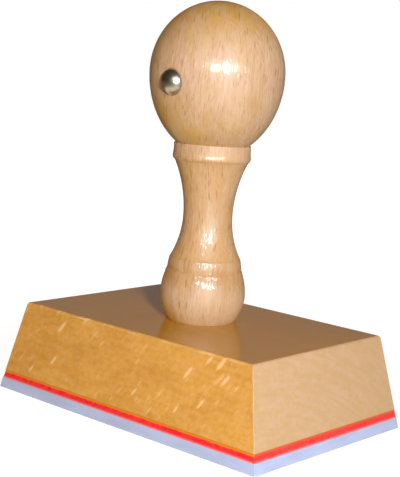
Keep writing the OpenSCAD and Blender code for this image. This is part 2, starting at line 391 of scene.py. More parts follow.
@dataclass(frozen=True)
class TurnedBeech:
    """Clear-lacquered beech of the handle: upright grain, with the ends of its rays on the front right.

    Sizes of the grain run across the rays, along them and upright.
    """

    pale: Colour = (0.58, 0.395, 0.26)
    tan: Colour = (0.525, 0.33, 0.19)
    amber: Colour = (0.445, 0.25, 0.115)
    rosy: Colour = (0.58, 0.37, 0.28)
    straw: Colour = (0.52, 0.345, 0.175)
    end_grain: Colour = (0.50, 0.285, 0.075)
    stem_deep_tone: Colour = (0.51, 0.285, 0.10)
    # Colour of the painted shade in the crease under the ring.
    crease_shade_tone: Colour = (0.44, 0.21, 0.055)
    # Colour of the painted shade on the lower left of the handle.
    shade_amber: Colour = (0.56, 0.322, 0.06)
    ray: Colour = (0.30, 0.135, 0.035)
    dark: Colour = (0.10, 0.045, 0.02)
    wander_mm: Triple = (25.0, 25.0, 35.0)
    wander_reach_mm: float = 1.2
    ripple_mm: Triple = (4.0, 4.0, 7.0)
    ripple_reach_mm: float = 0.22
    broad_mm: Triple = (6.0, 9.0, 50.0)
    bands_mm: Triple = (1.6, 3.0, 14.0)
    streak_mm: Triple = (0.5, 0.9, 5.0)
    pores_mm: Triple = (0.2, 0.25, 1.8)
    blush_mm: Triple = (2.6, 5.0, 8.0)
    lumps_mm: Triple = (1.0, 1.0, 2.0)
    rays: Grains = Grains((0.62, 9.0, 3.4), reach=0.3, share=0.4, tint=0.58)
    fine_rays: Grains = Grains((0.42, 7.0, 2.6), reach=0.34, share=0.5, tint=0.34)
    pale_rays: Grains = Grains((0.9, 8.0, 6.0), reach=0.34, share=0.4, tint=0.15)
    long_rays: Grains = Grains((0.75, 9.0, 5.0), reach=0.36, share=0.85, tint=0.55)
    pore_tint: float = 0.12
    ray_turn_deg: float = 36.0
    stem_turn_deg: float = 10.0
    wave_turn_deg: float = 51.0
    shade_turn_deg: float = -25.0
    shade_drop_deg: float = 46.0
    long_grain_turn_deg: float = 100.0
    long_grain_drop_deg: float = 45.0
    grip_mm: tuple[float, float] = (34.0, 68.0)
    grip_fade_mm: float = 4.0
    crease_mm: float = 0.0
    joint_mm: Triple = (0.0, 0.0, 0.0)
    joint_r_mm: float = 0.0
    joint_fade_mm: float = 0.4
    relief_mm: float = 0.3
    gloss: float = 0.06
    lustre: float = 0.27
    haze: float = 0.72
    haze_roughness: float = 0.55
    haze_ior: float = 1.6

    def make(self) -> bpy.types.Material:
        """Builds the material.

        Returns:
            The lacquered wood.
        """
        graph = paint("turned_beech")
        place = graph.place_mm((0.0, 0.0, -self.ray_turn_deg))
        place = graph.swayed(place, self.wander_mm, self.wander_reach_mm)
        place = graph.swayed(place, self.ripple_mm, self.ripple_reach_mm)
        bands = graph.noise(place, self.bands_mm)
        streak = graph.noise(place, self.streak_mm)
        pores = graph.noise(place, self.pores_mm)
        blush = graph.noise(place, self.blush_mm)
        rays = graph.flecks(place, self.rays)
        fine_rays = graph.flecks(place, self.fine_rays)
        wood = self.ground(graph, place, bands, streak, blush)
        wood = graph.mix(self.held(graph, blush), wood, self.stem_deep_tone)
        # Painted shade: a browner amber tone in the crease under the ring.
        wood = graph.mix(self.crease_shade_share(graph, blush), wood, self.crease_shade_tone)
        wood = graph.mix(self.cut_across(graph, blush), wood, self.end_grain)
        # Painted shade: a warmer amber tone on the side that looks down and to the front left.
        wood = graph.mix(self.aged(graph, blush), wood, self.shade_amber)
        wood = graph.mix(self.pore_tint * pores.step(0.45, 0.75), wood, self.ray)
        wood = graph.mix(self.fine_rays.tint * fine_rays, wood, self.ray)
        wood = graph.mix(self.long_rays.tint * self.stem_rays(graph), wood, self.ray)
        wood = graph.mix(self.rays.tint * rays * bands.step(0.3, 0.6), wood, self.ray)
        # Grime and painted contact shadow: a dark ring round the marker's cap.
        wood = graph.mix(self.joint_grime_and_shadow(graph), wood, self.dark)
        height = 0.08 * streak + 0.06 * (pores - rays - fine_rays) + self.waves(graph, place, streak)
        return graph.ended(self.lacquered(graph, wood, pores, graph.bump(height, self.relief_mm)))

    def ground(self, graph: Graph, place: Sock, bands: Sock, streak: Sock, blush: Sock) -> Sock:
        """Wood between the dark rays, paler on the foot.

        Args:
            graph: Graph of the material.
            place: Place in millimetres, along the grain.
            bands: Noise of the growth bands.
            streak: Noise of the fine grain.
            blush: Noise between the straw and the rosy tone.

        Returns:
            The colour.
        """
        broad = graph.noise(place, self.broad_mm)
        on_foot = (graph.height_mm() - self.crease_mm).step(-3.0, -7.0)
        tone = 0.35 * broad.step(0.25, 0.75) + 0.35 * bands.step(0.3, 0.7) + 0.3 * streak.step(0.35, 0.65)
        tone = tone - self.pale_rays.tint * graph.flecks(place, self.pale_rays) - 0.25 * on_foot
        wood = graph.ramp(tone, (0.15, self.pale), (0.5, self.tan), (0.9, self.amber))
        rosy = blush.step(0.3, 0.7) * (1.0 - 0.8 * on_foot)
        return graph.mix(0.4, wood, graph.mix(rosy, self.straw, self.rosy))

    def lacquered(self, graph: Graph, wood: Sock, pores: Sock, grained: Sock) -> Sock:
        """Glossy lacquer with a faint haze, rubbed matt on the crown and the back.

        Args:
            graph: Graph of the material.
            wood: Colour of the wood.
            pores: Noise of the pores, which dull the gloss.
            grained: Normal of the grained surface.

        Returns:
            The shader.
        """
        glossy = graph.shader({
            "Base Color": wood,
            "Roughness": self.gloss + 0.06 * pores.step(0.3, 0.8),
            "Normal": grained,
            "IOR": 1.5,
            "Specular IOR Level": self.lustre,
            "Coat Weight": self.haze,
            "Coat Roughness": self.haze_roughness,
            "Coat IOR": self.haze_ior,
        })
        rubbed = graph.shader({
            "Base Color": wood,
            "Roughness": self.haze_roughness,
            "Normal": grained,
            "Specular IOR Level": 0.0,
        })
        polish = graph.facing(self.wave_turn_deg).step(-0.05, 0.15) * graph.up_way().step(0.75, 0.45)
        return graph.node("ShaderNodeMixShader", None, {0: polish, 1: rubbed, 2: glossy})

    def waves(self, graph: Graph, place: Sock, streak: Sock) -> Sock:
        """Height of the small waves in the lacquer, on the side where it was laid on thickest.

        Args:
            graph: Graph of the material.
            place: Place in millimetres, along the grain.
            streak: Noise of the fine grain, which shows through the lacquer.

        Returns:
            The height, 0 on the other side.
        """
        lumps = graph.noise(place, self.lumps_mm)
        return graph.facing(self.wave_turn_deg).step(0.25, 0.6) * (0.7 * streak + 0.4 * lumps)

    def stem_rays(self, graph: Graph) -> Sock:
        """Long rays of the stem, on the two sides that show them end on.

        Args:
            graph: Graph of the material.

        Returns:
            1 in the middle of a ray, 0 on the ball and the foot.
        """
        place = graph.place_mm((0.0, 0.0, -self.stem_turn_deg))
        place = graph.swayed(place, self.ripple_mm, self.ripple_reach_mm)
        end_on = abs(graph.facing(self.stem_turn_deg)).step(0.35, 0.7)
        return graph.flecks(place, self.long_rays) * self.on_stem(graph) * end_on

    def on_stem(self, graph: Graph) -> Sock:
        """Where the handle is gripped.

        Args:
            graph: Graph of the material.

        Returns:
            1 on the stem, 0 on the ball and the foot.
        """
        height = graph.height_mm()
        low, high = self.grip_mm
        fade = self.grip_fade_mm
        return height.step(low - fade, low + fade) * height.step(high + fade, high - fade)

    def held(self, graph: Graph, patchy: Sock) -> Sock:
        """Share of the deeper tone of the stem, uneven by the noise."""
        return self.on_stem(graph) * (0.1 + 0.64 * patchy.step(0.35, 0.65))

    def crease_shade_share(self, graph: Graph, patchy: Sock) -> Sock:
        """Share of the painted shade in the crease under the ring, uneven by the noise."""
        height = graph.height_mm() - self.crease_mm
        return (0.25 + 0.4 * patchy.step(0.35, 0.65)) * height.step(-4.5, -0.8) * height.step(2.0, 0.6)

    def cut_across(self, graph: Graph, blotch: Sock) -> Sock:
        """Share of the darker end grain, where the turning slopes across the fibres.

        Args:
            graph: Graph of the material.
            blotch: Noise that makes the end grain patchy.

        Returns:
            More where the surface looks up or down.
        """
        above_foot = (graph.height_mm() - self.crease_mm).step(0.0, 3.0)
        slope = abs(graph.up_way()).step(0.1, 0.85) * (0.3 + 0.7 * above_foot)
        along = graph.facing(self.long_grain_turn_deg, self.long_grain_drop_deg).step(0.5, 0.9)
        return slope * (0.45 + 0.5 * blotch.step(0.65, 0.35)) * (1.0 - 0.5 * along)

    def aged(self, graph: Graph, patchy: Sock) -> Sock:
        """Share of the painted shade on the side that looks down and to the front left, uneven by the noise.
        """
        sunny = graph.facing(self.shade_turn_deg, self.shade_drop_deg)
        return sunny.step(0.68, 1.0) * (0.45 + 0.5 * patchy.step(0.6, 0.35))

    def joint_grime_and_shadow(self, graph: Graph) -> Sock:
        """Share of the dark line in the joint round the marker's cap, grime with painted contact shadow.

        Args:
            graph: Graph of the material.

        Returns:
            Most in the joint, 0 away from it.
        """
        apart = graph.vector("SUBTRACT", graph.place_mm(), self.joint_mm)
        reach = graph.measure("LENGTH", apart)
        return 0.7 * reach.step(self.joint_r_mm + self.joint_fade_mm, self.joint_r_mm)


@dataclass(frozen=True)
class BlockBeech:
    """Beech of the block: amber lacquer on the long sides and the top, bare end grain at the ends.

    Sizes of the grain run along X, Y and Z, and those of the rings and dots out from the pith and across.
    """

    amber: Colour = (0.655, 0.34, 0.075)
    honey: Colour = (0.465, 0.212, 0.033)
    rosy: Colour = (0.67, 0.37, 0.15)
    stain: Colour = (0.60, 0.25, 0.025)
    ray: Colour = (0.86, 0.55, 0.27)
    top: Colour = (0.485, 0.222, 0.027)
    top_streak: Colour = (0.455, 0.207, 0.023)
    bare: Colour = (0.53, 0.345, 0.225)
    bare_deep: Colour = (0.47, 0.305, 0.15)
    bare_speck: Colour = (0.50, 0.31, 0.115)
    worn: Colour = (0.78, 0.54, 0.30)
    ragged_mm: Triple = (1.6, 1.6, 1.1)
    streak_mm: Triple = (22.0, 0.9, 0.9)
    pores_mm: Triple = (2.2, 0.22, 0.22)
    broad_mm: Triple = (13.0, 8.0, 5.0)
    grain_mm: Triple = (6.0, 2.0, 0.9)
    mottle_mm: Triple = (1.6, 1.5, 1.1)
    blush_mm: Triple = (4.0, 2.0, 1.3)
    stains_mm: Triple = (5.5, 3.0, 2.4)
    rings_mm: Triple = (1.3, 12.0, 1.0)
    dots_mm: Triple = (0.6, 0.3, 1.0)
    blotch_mm: Triple = (4.0, 3.5, 2.6)
    specks_mm: Triple = (1.7, 1.7, 1.2)
    rubbed_mm: Triple = (6.0, 3.0, 2.0)
    ray_lean_deg: float = 53.0
    ray_ripple_mm: Triple = (0.9, 0.9, 0.9)
    ray_reach_mm: float = 0.25
    rays: Grains = Grains((8.4, 6.0, 2.2), reach=0.3, share=0.34, tint=0.6)
    small_rays: Grains = Grains((3.2, 3.0, 1.2), reach=0.36, share=0.2, tint=0.2)
    pith_mm: Triple = (0.0, -26.0, -50.0)
    end_mm: float = 0.0
    end_lean: float = 0.0
    side_roughness: float = 0.58
    top_roughness: float = 0.1
    end_roughness: float = 0.78
    relief_mm: float = 0.02

    def make(self) -> bpy.types.Material:
        """Builds the material.

        Returns:
            The wood, with its finish by the way that each face looks.
        """
        graph = paint("block_beech")
        place = graph.place_mm()
        along, _, height = graph.parts(place)
        end_way, side_way, up_way = graph.parts(graph.normal())
        ragged = graph.noise(place, self.ragged_mm, 3.0) - 0.5
        level = abs(end_way) + abs(side_way) + 0.001
        is_top = (up_way + 0.04 * ragged).step(0.95, 0.99)
        is_end = ((abs(end_way) - abs(side_way)) / level + 0.5 * ragged).step(0.3, 0.6)
        bare_end = is_end * (1.0 - is_top)
        to_end = abs(along) + self.end_lean * height - self.end_mm
        on_corner = (to_end + 1.3 * ragged).step(-0.45, -0.05)
        streak = graph.noise(place, self.streak_mm, 3.0)
        pores = graph.noise(place, self.pores_mm)
        top = graph.mix(streak.step(0.3, 0.7), self.top, self.top_streak)
        wood = graph.mix(is_top, self.side(graph, place), top)
        wood = graph.mix(self.wear(graph, place, up_way), wood, self.worn)
        wood = graph.mix(bare_end, wood, self.end(graph, place))
        wood = graph.mix(0.75 * on_corner * (1.0 - is_end) * (1.0 - is_top), wood, self.bare)
        to_top = self.top_roughness - self.side_roughness
        to_bare = self.end_roughness - self.side_roughness
        return graph.surface({
            "Base Color": wood,
            "Roughness": self.side_roughness + to_top * is_top + to_bare * bare_end,
            "Normal": graph.bump(0.5 * streak + 0.4 * pores, self.relief_mm, 0.15),
            "IOR": 1.5,
        })

    def side(self, graph: Graph, place: Sock) -> Sock:
        """Amber lacquer over slanting rays.

        Args:
            graph: Graph of the material.
            place: Place in millimetres.

        Returns:
            The colour of the long sides.
        """
        leaning = graph.place_mm((0.0, self.ray_lean_deg, 0.0))
        broad = graph.noise(place, self.broad_mm, 3.0)
        grain = graph.noise(place, self.grain_mm, 3.0)
        mottle = graph.noise(leaning, self.mottle_mm, 4.0)
        blush = graph.noise(place, self.blush_mm)
        stains = graph.noise(place, self.stains_mm)
        rays = graph.flecks(graph.swayed(leaning, self.ray_ripple_mm, self.ray_reach_mm), self.rays)
        small_rays = graph.flecks(leaning, self.small_rays)
        tone = 0.4 * broad.step(0.25, 0.75) + 0.25 * grain.step(0.2, 0.8) + 0.35 * mottle.step(0.3, 0.7)
        side = graph.mix(tone, self.amber, self.honey)
        side = graph.mix(0.25 * blush.step(0.4, 0.7), side, self.rosy)
        side = graph.mix(0.4 * stains.step(0.66, 0.76), side, self.stain)
        side = graph.mix(self.small_rays.tint * small_rays, side, self.ray)
        return graph.mix(self.rays.tint * rays, side, self.ray)

    def end(self, graph: Graph, place: Sock) -> Sock:
        """Bare end grain with faint growth rings about a pith outside the block.

        Args:
            graph: Graph of the material.
            place: Place in millimetres.

        Returns:
            The colour of the ends.
        """
        apart = graph.vector("MULTIPLY", graph.vector("SUBTRACT", place, self.pith_mm), (0.0, 1.0, 1.0))
        inputs = {"X": graph.measure("LENGTH", apart), "Y": graph.parts(place)[1]}
        growth = graph.node("ShaderNodeCombineXYZ", None, inputs)
        rings = graph.noise(growth, self.rings_mm, 3.0)
        dots = graph.noise(growth, self.dots_mm)
        blotch = graph.noise(place, self.blotch_mm, 4.0)
        specks = graph.noise(place, self.specks_mm, 3.0)
        tone = 0.35 * blotch.step(0.35, 0.65) + 0.35 * rings.step(0.35, 0.65) + 0.3 * dots.step(0.4, 0.7)
        end = graph.mix(tone, self.bare, self.bare_deep)
        return graph.mix(0.55 * specks.step(0.5, 0.66), end, self.bare_speck)

    def wear(self, graph: Graph, place: Sock, up_way: Sock) -> Sock:
        """Share of bare wood along the rounded top edges, where the lacquer is rubbed off.

        Args:
            graph: Graph of the material.
            place: Place in millimetres.
            up_way: Upward part of the normal.

        Returns:
            Most where the wood is bare, 0 off the edges.
        """
        on_edge = up_way.step(0.25, 0.4) * up_way.step(0.97, 0.85)
        rubbed = graph.noise(place, self.rubbed_mm, 4.0)
        return on_edge * (0.12 + 0.45 * rubbed.step(0.5, 0.64))


@dataclass(frozen=True)
class PolishedNickel:
    """Bright plate of the marker's cap, with faint rubbing marks."""

    plate: Colour = (0.76, 0.67, 0.55)
    tarnish: Colour = (0.44, 0.35, 0.24)
    rubs_mm: Triple = (0.8, 0.8, 0.12)
    dull_mm: Triple = (1.5, 1.5, 1.5)
    roughness: float = 0.25

    def make(self) -> bpy.types.Material:
        """Builds the material.

        Returns:
            The plated metal.
        """
        graph = paint("polished_nickel")
        place = graph.place_mm()
        rubs = graph.noise(place, self.rubs_mm, 3.0)
        dull = graph.noise(place, self.dull_mm, 3.0)
        return graph.surface({
            "Base Color": graph.mix(0.4 * dull.step(0.4, 0.7), self.plate, self.tarnish),
            "Metallic": 1.0,
            "Roughness": self.roughness + 0.1 * rubs,
        })


@dataclass(frozen=True)
class PlatedSteel:
    """Plain metal of a hidden fastener."""

    name: str
    metal: Colour
    roughness: float
    stain: Colour = (0.3, 0.27, 0.2)
    mottle_mm: Triple = (1.2, 1.2, 1.2)

    def make(self) -> bpy.types.Material:
        """Builds the material.

        Returns:
            The mottled metal.
        """
        graph = paint(self.name)
        mottle = graph.noise(graph.place_mm(), self.mottle_mm, 3.0)
        return graph.surface({
            "Base Color": graph.mix(0.35 * mottle, self.metal, self.stain),
            "Metallic": 1.0,
            "Roughness": self.roughness + 0.15 * mottle,
        })


@dataclass(frozen=True)
class SpongeFoam:
    """Red sponge rubber with small cells at its cut edges."""

    red: Colour = (0.70, 0.010, 0.022)
    flush: Colour = (0.82, 0.04, 0.034)
    scuffed: Colour = (0.58, 0.075, 0.07)
    cell: Colour = (0.40, 0.01, 0.015)
    glue: Colour = (0.62, 0.2, 0.01)
    pale: Colour = (0.74, 0.22, 0.25)
    span_mm: tuple[float, float] = (2.8, 4.7)
    tone_mm: Triple = (1.5, 1.5, 0.8)
    cells: Grains = Grains((0.42, 0.42, 0.36), reach=0.42, share=0.3, tint=0.6)
    cell_depth_mm: float = 0.06

    def make(self) -> bpy.types.Material:
        """Builds the material.

        Returns:
            The foam, paler at its foot and with glue at its top.
        """
        graph = paint("sponge_foam")
        place = graph.place_mm()
        cells = graph.flecks(place, self.cells)
        tone = graph.noise(place, self.tone_mm, 4.0)
        skin = graph.mix(0.8 * tone.step(0.3, 0.7), self.red, self.flush)
        skin = graph.mix(graph.at_end() * (0.1 + 0.5 * tone.step(0.6, 0.4)), skin, self.scuffed)
        skin = graph.mix(self.cells.tint * cells, skin, self.cell)
        height = graph.parts(place)[2] + 0.3 * (tone - 0.5)
        low, high = self.span_mm
        skin = graph.mix(0.6 * height.step(low + 0.55, low), skin, self.pale)
        glued = 0.9 * height.step(high - 0.6, high - 0.35) * (1.0 - 0.75 * graph.at_end())
        skin = graph.mix(glued, skin, self.glue)
        return graph.surface({
            "Base Color": skin,
            "Roughness": 0.7 + 0.2 * cells,
            "Normal": graph.bump(1.0 - cells, self.cell_depth_mm, 0.6),
        })


@dataclass(frozen=True)
class DieRubber:
    """Pale lavender-grey rubber of the die."""

    rubber: Colour = (0.40, 0.462, 0.70)
    dull: Colour = (0.355, 0.41, 0.625)
    tone_mm: Triple = (9.0, 9.0, 2.0)
    grain_mm: Triple = (0.3, 0.3, 0.3)
    relief_mm: float = 0.02

    def make(self) -> bpy.types.Material:
        """Builds the material.

        Returns:
            The rubber.
        """
        graph = paint("die_rubber")
        place = graph.place_mm()
        tone = graph.noise(place, self.tone_mm, 3.0)
        grain = graph.noise(place, self.grain_mm)
        return graph.surface({
            "Base Color": graph.mix(tone.step(0.35, 0.7), self.rubber, self.dull),
            "Roughness": 0.45 + 0.2 * grain,
            "Normal": graph.bump(grain, self.relief_mm, 0.4),
        })


@dataclass(frozen=True)
class AdhesiveFilm:
    """Thin sticky film between the layers."""

    name: str
    film: Colour
    aged: Colour
    end: Colour
    tone_mm: Triple = (4.0, 4.0, 1.0)

    def make(self) -> bpy.types.Material:
        """Builds the material.

        Returns:
            The film.
        """
        graph = paint(self.name)
        tone = graph.noise(graph.place_mm(), self.tone_mm, 3.0)
        film = graph.mix(tone.step(0.3, 0.7), self.film, self.aged)
        return graph.surface({
            "Base Color": graph.mix(graph.at_end(), film, self.end),
            "Roughness": 0.4 + 0.2 * tone,
        })


def put_in_scene(name: str, data: bpy.types.ID) -> bpy.types.Object:
    """Puts a mesh, a camera or a light into the scene.

    Args:
        name: Name of the object.
        data: Mesh, camera or light.

    Returns:
        The object.
    """
    made = bpy.data.objects.new(name, data)
    bpy.context.scene.collection.objects.link(made)
    return made


def stand_in(mesh: bpy.types.Mesh, node: str) -> bpy.types.Object:
    """Puts a mesh into the scene, on the stamp's body and in place of a solid.

    Args:
        mesh: Mesh of the piece, whose name it takes.
        node: Solid that it stands for.

    Returns:
        The piece.
    """
    piece = put_in_scene(mesh.name, mesh)
    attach(piece, STAMP_BODY)
    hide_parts(node)
    return piece


def dress(piece: bpy.types.Object, material: bpy.types.Material) -> None:
    """Gives a piece its material in place of any other, and logs it.

    Args:
        piece: Piece to dress.
        material: Its finish.
    """
    piece.data.materials.clear()
    piece.data.materials.append(material)
    LOG.info("%s: %s", piece.name, material.name)


def rounded_off(points: Outline) -> Outline:
    """Cuts the corners of an open line, a quarter of each side, and keeps its ends.

    Args:
        points: Points of the line.

    Returns:
        The points of the softer line.
    """
    for _ in range(CORNER_CUTS):
        softer = [points[0]]
        for (r0, z0), (r1, z1) in zip(points, points[1:]):
            softer.append((0.75 * r0 + 0.25 * r1, 0.75 * z0 + 0.25 * z1))
            softer.append((0.25 * r0 + 0.75 * r1, 0.25 * z0 + 0.75 * z1))
        points = [*softer, points[-1]]
    return points


def circle(r: float, z: float, angles: Sequence[float]) -> Ring:
    """Points about Z at the given angles."""
    return [Vector((r * math.cos(a), r * math.sin(a), z)) for a in angles]


def rounded_ring(half: tuple[float, float], corner: float, z: float, cuts: tuple[int, int]) -> Ring:
    """Rectangle with round corners about Z.

    Args:
        half: Half sizes along X and Y.
        corner: Radius of the corners.
        z: Height of the ring.
        cuts: Stretches of each side along X and Y.

    Returns:
        The points, as many for any size with the same cuts.
    """
    steps = 6
    edge = 0.004
    ways = ((1, 1), (-1, 1), (-1, -1), (1, -1))
    points: Ring = []
    for turn, (x_way, y_way) in enumerate(ways):
        middle = Vector((x_way * (half[0] - corner), y_way * (half[1] - corner), z))
        angles = [math.pi / 2 * (turn + i / steps) for i in range(steps + 1)]
        points += [middle + offset for offset in circle(corner, 0.0, angles)]
        next_x, next_y = ways[(turn + 1) % len(ways)]
        end = Vector((next_x * (half[0] - corner), next_y * (half[1] - corner), z)) + (points[-1] - middle)
        count = cuts[turn % 2]
        shares = [edge, *(i / count for i in range(1, count)), 1 - edge]
        points += [points[-1].lerp(end, share) for share in shares]
    return points


def lofted_mesh(name: str, rings: Sequence[Ring], tips: tuple[Vector, Vector] | None) -> bpy.types.Mesh:
    """Skins a row of rings that have as many points each.

    Args:
        name: Name of the mesh.
        rings: Rings in order.
        tips: Points that close the first and the last ring, or none where the last ring joins the first.

    Returns:
        The closed mesh, smooth but for its sharp edges.
    """
    sharp_deg = 50.0
    work = bmesh.new()
    loops = [[work.verts.new(point) for point in ring] for ring in rings]
    sides = [(i, (i + 1) % len(loops[0])) for i in range(len(loops[0]))]
    pairs = list(zip(loops, loops[1:]))
    if tips is None:
        pairs.append((loops[-1], loops[0]))
    else:
        for loop, tip in zip((loops[0], loops[-1]), (work.verts.new(point) for point in tips)):
            for i, j in sides:
                work.faces.new((loop[i], loop[j], tip))
    for low, high in pairs:
        for i, j in sides:
            work.faces.new((low[i], low[j], high[j], high[i]))
    bmesh.ops.recalc_face_normals(work, faces=work.faces)
    mesh = bpy.data.meshes.new(name)
    work.to_mesh(mesh)
    work.free()
    mesh.shade_smooth()
    mesh.set_sharp_from_angle(angle=math.radians(sharp_deg))
    return mesh


def turned_mesh(name: str, outline: Outline, sides: int) -> bpy.types.Mesh:
    """Turns an outline about Z into a closed mesh.

    Args:
        name: Name of the mesh.
        outline: Radius and height of each point; the first and last lie on the axis.
        sides: Points round the axis.

    Returns:
        The mesh.
    """
    angles = [2 * math.pi * i / sides for i in range(sides)]
    rings = [circle(r, z, angles) for r, z in outline[1:-1]]
    tips = (Vector((0.0, 0.0, outline[0][1])), Vector((0.0, 0.0, outline[-1][1])))
    return lofted_mesh(name, rings, tips)


@dataclass
class TurnedHandle:
    """One-piece handle, turned from the end of its tenon to the top of the ball. Sizes in millimetres."""

    base_r: float = 9.0
    foot_r: float = 11.2
    foot_wide: float = 7.0
    foot_h: float = 13.25
    lip_h: float = 0.8
    lip_form: Forms = ((0.2, 0.0), (0.7, 0.09), (0.95, 0.2))
    ring_r: float = 9.75
    ring_h: float = 3.4
    waist_r: float = 6.425
    lower_cove_h: float = 11.1
    upper_cove_h: float = 14.4
    collar_r: float = 10.25
    collar_h: float = 4.2
    bulge: float = 0.2
    ring_form: Forms = (
        (0.1, 0.0), (0.2, 0.0), (0.35, 0.05), (0.55, 0.15), (0.75, 0.27), (0.9, 0.38), (1.0, 0.5),
    )
    collar_form: Forms = (
        (0.0, 0.35), (0.1, 0.1), (0.2, 0.0), (0.32, 0.08), (0.44, 0.15), (0.65, 0.17), (0.93, 0.18),
        (0.985, 0.18), (1.0, 0.21),
    )
    edge: float = 0.05
    cove_step: float = 0.4
    crease: float = 0.6
    ball_r: float = 17.5
    ball_top_h: float = 18.5
    ball_low_h: float = 21.5
    tenon_r: float = 4.5
    tenon_l: float = 10.0
    pilot_r: float = 1.55
    pilot_top: float = 12.0
    marker_drop: float = 2.6
    marker_r: float = 3.25
    step_deg: float = 5.0
    sides: int = 128

    @property
    def seat(self) -> float:
        """Height of the block's top, where the handle stands."""
        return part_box("mount_block")[1].z / MM

    @property
    def waist_z(self) -> float:
        """Height of the waist above the block."""
        return self.foot_h + self.ring_h + self.lower_cove_h

    @property
    def neck_r(self) -> float:
        """Radius of the crease between the collar and the ball."""
        return self.collar_r - self.bulge - self.crease

    @property
    def ball_z(self) -> float:
        """Height of the ball's widest point above the block."""
        rise = self.ball_low_h * math.sqrt(1 - (self.neck_r / self.ball_r) ** 2)
        return self.waist_z + self.upper_cove_h + self.collar_h + rise

    def oval(self, r: float, half_h: float, z: float, start: float, end: float) -> Outline:
        """Points of an oval between two angles.

        Args:
            r: Half axis across.
            half_h: Half axis upright.
            z: Height of its middle.
            start: First angle in degrees.
            end: Last angle in degrees.

        Returns:
            The points.
        """
        steps = math.ceil(abs(end - start) / self.step_deg)
        angles = [math.radians(start + (end - start) * i / steps) for i in range(steps + 1)]
        return [(r * math.cos(a), z + half_h * math.sin(a)) for a in angles]

    def cove(self, r_end: float, h: float) -> Outline:
        """Points of a hollow that starts at the waist.

        Args:
            r_end: Radius where it ends.
            h: Height of its end above the waist.

        Returns:
            The points.
        """
        depth = r_end - self.waist_r
        bend = (h * h + depth * depth) / (2 * depth)
        sweep = math.asin(h / bend)
        steps = math.ceil(math.degrees(abs(sweep)) / self.step_deg)
        angles = [sweep * i / steps for i in range(steps + 1)]
        return [(self.waist_r + bend * (1 - math.cos(a)), self.waist_z + bend * math.sin(a)) for a in angles]

    def outline(self) -> Outline:
        """Half outline above the block's top.

        Returns:
            The points, from the end of the pilot hole round the tenon to the top of the ball.
        """
        base = math.degrees(math.acos(self.base_r / self.foot_r))
        shoulder = math.degrees(math.acos((self.ring_r + self.bulge / 2) / self.foot_r))
        neck = math.degrees(math.acos(self.neck_r / self.ball_r))
        foot_low = self.foot_wide / math.sin(math.radians(base))
        foot_high = (self.foot_h - self.foot_wide) / math.sin(math.radians(shoulder))
        lip = math.asin((self.foot_h - self.lip_h - self.foot_wide) / foot_high)
        lip_r = self.foot_r * math.cos(lip)
        inset = self.bulge + self.cove_step
        collar_z = self.waist_z + self.upper_cove_h
        return [
            (0.0, self.pilot_top),
            (self.pilot_r, self.pilot_top),
            (self.pilot_r, -self.tenon_l),
            (self.tenon_r, -self.tenon_l),
            (self.tenon_r, 0.0),
            (self.base_r - self.edge, 0.0),
            *self.oval(self.foot_r, foot_low, self.foot_wide, -base, 0.0),
            *self.oval(self.foot_r, foot_high, self.foot_wide, self.step_deg, math.degrees(lip)),
            *[(lip_r - cut, self.foot_h - self.lip_h * (1 - share)) for share, cut in self.lip_form],
            *[(self.ring_r - cut, self.foot_h + self.ring_h * share) for share, cut in self.ring_form],
            *reversed(self.cove(self.ring_r - inset, -self.lower_cove_h)),
            *self.cove(self.collar_r - inset, self.upper_cove_h)[1:],
            *[(self.collar_r - cut, collar_z + self.collar_h * share) for share, cut in self.collar_form],
            *self.oval(self.ball_r, self.ball_low_h, self.ball_z, -neck, 0.0),
            *self.oval(self.ball_r, self.ball_top_h, self.ball_z, self.step_deg, 90.0),
        ]

    def marker_seat(self) -> Matrix:
        """Place on the front of the ball, square to it, that the marker stands on.

        Returns:
            The matrix of the place, in millimetres, with +Z out of the ball.
        """
        seat_r = self.ball_r * math.cos(math.asin(self.marker_drop / self.ball_low_h))
        tilt = math.atan2(self.marker_drop / self.ball_low_h**2, seat_r / self.ball_r**2)
        spot = Vector((0.0, -seat_r, self.seat + self.ball_z - self.marker_drop))
        return Matrix.Translation(spot) @ Matrix.Rotation(math.pi / 2 + tilt, 4, "X")

    def build(self) -> None:
        """Turns the handle and lets it stand for its solid."""
        outline = [(r * MM, (self.seat + z) * MM) for r, z in rounded_off(self.outline())]
        handle = stand_in(turned_mesh("handle_turning", outline, self.sides), "handle")
        joint = tuple(self.marker_seat().translation)
        crease = self.seat + self.foot_h
        finish = TurnedBeech(joint_mm=joint, joint_r_mm=self.marker_r, crease_mm=crease)
        dress(handle, finish.make())


